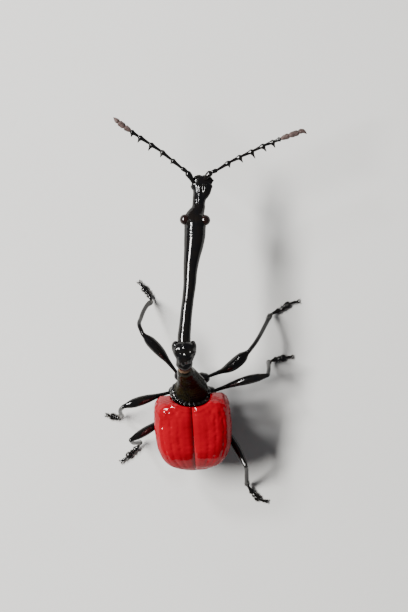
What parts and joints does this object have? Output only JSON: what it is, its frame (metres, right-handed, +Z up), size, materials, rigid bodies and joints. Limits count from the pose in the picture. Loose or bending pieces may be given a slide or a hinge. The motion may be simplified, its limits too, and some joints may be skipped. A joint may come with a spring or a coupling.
{
  "type": "giraffe weevil",
  "caption": "Still, life-size giraffe weevil male: glossy black, with a long raised neck, clubbed feelers and boxy red wing cases, standing on its feet.",
  "frame": {"origin": "on the floor, under the middle of the box round the whole insect", "axes": "+Z up, +Y the way the head points, +X to the insect's right side"},
  "size_m": [0.0143, 0.0272, 0.0093],
  "materials": {
    "cuticle_black": "glossy black cuticle, finely pitted",
    "eye_brown": "very glossy dark brown",
    "elytra_red": "glossy saturated red, with fine rows of pits",
    "club_mauve": "dull, with short pale down",
    "foot_grey": "dark and dull, with paler hairy pads"
  },
  "bodies": {
    "root": {"abdomen": "cuticle_black", "antenna_left_club": "club_mauve", "antenna_left_funicle": "cuticle_black", "antenna_left_scape": "cuticle_black", "antenna_right_club": "club_mauve", "antenna_right_funicle": "cuticle_black", "antenna_right_scape": "cuticle_black", "elytron_left": "elytra_red", "elytron_right": "elytra_red", "eye_left": "eye_brown", "eye_right": "eye_brown", "head": "cuticle_black", "leg_front_left_coxa": "cuticle_black", "leg_front_left_femur": "cuticle_black", "leg_front_left_tarsus": "foot_grey", "leg_front_left_tibia": "cuticle_black", "leg_front_right_coxa": "cuticle_black", "leg_front_right_femur": "cuticle_black", "leg_front_right_tarsus": "foot_grey", "leg_front_right_tibia": "cuticle_black", "leg_mid_left_coxa": "cuticle_black", "leg_mid_left_femur": "cuticle_black", "leg_mid_left_tarsus": "foot_grey", "leg_mid_left_tibia": "cuticle_black", "leg_mid_right_coxa": "cuticle_black", "leg_mid_right_femur": "cuticle_black", "leg_mid_right_tarsus": "foot_grey", "leg_mid_right_tibia": "cuticle_black", "leg_rear_left_coxa": "cuticle_black", "leg_rear_left_femur": "cuticle_black", "leg_rear_left_tarsus": "foot_grey", "leg_rear_left_tibia": "cuticle_black", "leg_rear_right_coxa": "cuticle_black", "leg_rear_right_femur": "cuticle_black", "leg_rear_right_tarsus": "foot_grey", "leg_rear_right_tibia": "cuticle_black", "mandible_left": "cuticle_black", "mandible_right": "cuticle_black", "neck": "cuticle_black", "neck_collar": "cuticle_black", "prothorax": "cuticle_black", "thorax": "cuticle_black"}
  },
  "joints": []
}
